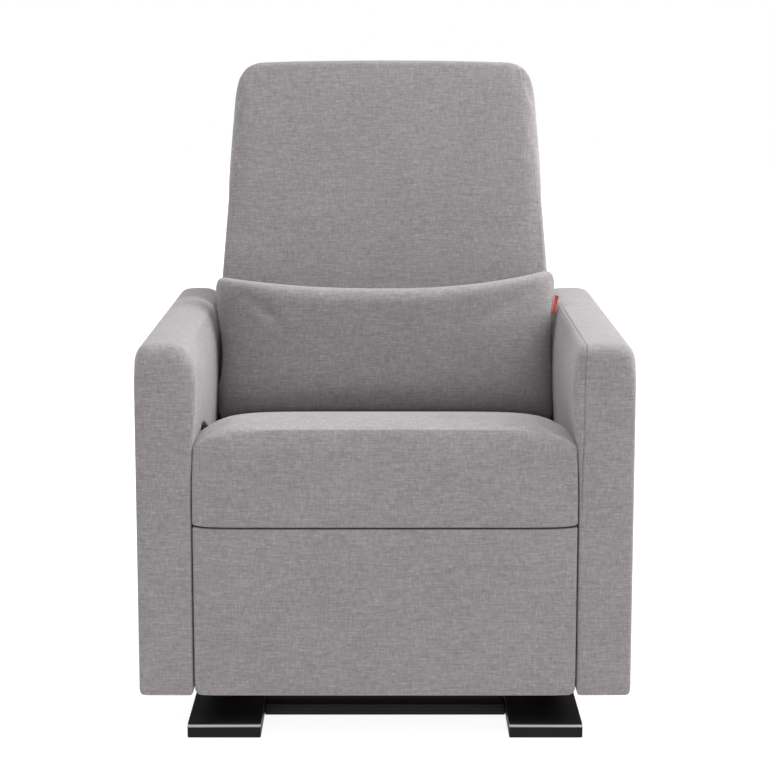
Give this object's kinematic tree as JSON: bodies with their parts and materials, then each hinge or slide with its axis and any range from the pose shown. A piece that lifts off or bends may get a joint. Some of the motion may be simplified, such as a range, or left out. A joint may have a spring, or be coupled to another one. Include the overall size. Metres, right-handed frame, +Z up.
{
  "type": "glider recliner chair",
  "caption": "Padded glider recliner with box arms, reclining back, fold-out footrest, loose lumbar pillow and a low black runner base.",
  "frame": {"origin": "on the floor under the middle of the overall box", "axes": "+Z up; the chair faces -Y; +X is the sitter's left; rest pose is upright, footrest closed, glide centred"},
  "size_m": [0.79, 0.864, 1.0701],
  "materials": {
    "upholstery": "heathered woven linen look",
    "pillow_fabric": "heathered woven linen look",
    "base_wood": "black satin lacquer",
    "frame_wood": "bare plywood",
    "steel": "black powder coat",
    "spring_steel": "plain spring wire",
    "floor_pad": "matte",
    "tag": "woven ribbon, plain",
    "pull": "moulded, fine matte"
  },
  "bodies": {
    "base": {"base_runner_left": "base_wood", "base_runner_right": "base_wood", "upright_bracket_left": "steel", "upright_bracket_right": "steel", "floor_pad_front_left": "floor_pad", "floor_pad_front_right": "floor_pad", "floor_pad_rear_left": "floor_pad", "floor_pad_rear_right": "floor_pad", "base_cross_rail_front": "base_wood", "base_cross_rail_rear": "base_wood"},
    "front_swing_links": {"swing_link_front_left": "steel", "swing_link_front_right": "steel"},
    "rear_swing_links": {"swing_link_rear_left": "steel", "swing_link_rear_right": "steel"},
    "chair_body": {"glide_plate_left": "steel", "glide_plate_right": "steel", "seat_side_rail_left": "frame_wood", "seat_side_rail_right": "frame_wood", "arm_frame_left": "frame_wood", "arm_frame_right": "frame_wood", "arm_cover_left": "upholstery", "arm_cover_right": "upholstery", "mechanism_plate_left": "steel", "mechanism_plate_right": "steel", "cross_tube_front": "steel", "cross_tube_rear": "steel", "seat_front_rail": "frame_wood", "seat_rear_rail": "frame_wood", "seat_cushion": "upholstery", "rear_apron": "upholstery", "seat_spring_1": "spring_steel", "seat_spring_2": "spring_steel", "seat_spring_3": "spring_steel", "seat_spring_4": "spring_steel"},
    "backrest": {"back_stile_left": "frame_wood", "back_stile_right": "frame_wood", "back_hinge_bracket_left": "steel", "back_hinge_bracket_right": "steel", "back_rail_bottom": "frame_wood", "back_rail_top": "frame_wood", "back_cushion": "upholstery", "outside_back": "upholstery"},
    "pillow": {"lumbar_pillow": "pillow_fabric", "pillow_tag": "tag"},
    "release": {"release_pull": "pull"},
    "footrest_arms": {"footrest_arm_left": "steel", "footrest_arm_right": "steel", "torque_tube": "steel"},
    "footrest_links": {"footrest_link_left": "steel", "footrest_link_right": "steel"},
    "stabiliser_links": {"stabiliser_link_left": "steel", "stabiliser_link_right": "steel"},
    "control_links": {"control_link_left": "steel", "control_link_right": "steel"},
    "footrest_panel": {"footrest_bracket_left": "steel", "footrest_bracket_right": "steel", "footrest_board": "frame_wood", "footrest_pad": "upholstery"}
  },
  "joints": [
    {"name": "glide", "type": "hinge", "parent": "base", "child": "front_swing_links", "pos_m": [0, -0.12, 0.29], "axis": [1, 0, 0], "range_deg": [-18, 18]},
    {"name": "rear_swing", "type": "hinge", "parent": "base", "child": "rear_swing_links", "pos_m": [0, 0.12, 0.29], "axis": [1, 0, 0], "range_deg": [-18, 18]},
    {"name": "body_hang", "type": "hinge", "parent": "front_swing_links", "child": "chair_body", "pos_m": [0, -0.12, 0.085], "axis": [1, 0, 0], "range_deg": [-18, 18]},
    {"name": "recline", "type": "hinge", "parent": "chair_body", "child": "backrest", "pos_m": [0, 0.216, 0.322], "axis": [-1, 0, 0], "range_deg": [0, 35]},
    {"name": "pillow_lift", "type": "slide", "parent": "backrest", "child": "pillow", "axis": [0, 0, 1], "range_m": [0, 0.35]},
    {"name": "release_slide", "type": "slide", "parent": "chair_body", "child": "release", "axis": [0, 0, 1], "range_m": [0, 0.02], "stiffness_N_per_m": 400, "springref_m": -0.004},
    {"name": "footrest", "type": "hinge", "parent": "chair_body", "child": "footrest_arms", "pos_m": [0, -0.312, 0.288], "axis": [-1, 0, 0], "range_deg": [0, 134.51]},
    {"name": "footrest_elbow", "type": "hinge", "parent": "footrest_arms", "child": "footrest_links", "pos_m": [0, -0.18139, 0.14321], "axis": [-1, 0, 0], "range_deg": [-126.2, 0]},
    {"name": "stabiliser", "type": "hinge", "parent": "chair_body", "child": "stabiliser_links", "pos_m": [0, -0.3224, 0.25985], "axis": [-1, 0, 0], "range_deg": [0, 133.4]},
    {"name": "control", "type": "hinge", "parent": "footrest_arms", "child": "control_links", "pos_m": [0, -0.16736, 0.16972], "axis": [-1, 0, 0], "range_deg": [-133.4, 0]},
    {"name": "panel_turn", "type": "hinge", "parent": "footrest_links", "child": "footrest_panel", "pos_m": [0, -0.366, 0.206], "axis": [-1, 0, 0], "range_deg": [0, 81.7]}
  ],
  "couplings": [
    {"joint": "rear_swing", "follows": "glide", "ratio": 1},
    {"joint": "body_hang", "follows": "glide", "ratio": -1},
    {"joint": "footrest_elbow", "follows": "footrest", "ratio": -0.93622},
    {"joint": "stabiliser", "follows": "footrest", "ratio": 0.98992},
    {"joint": "control", "follows": "footrest", "ratio": -0.98936},
    {"joint": "panel_turn", "follows": "footrest", "ratio": 0.6053}
  ]
}
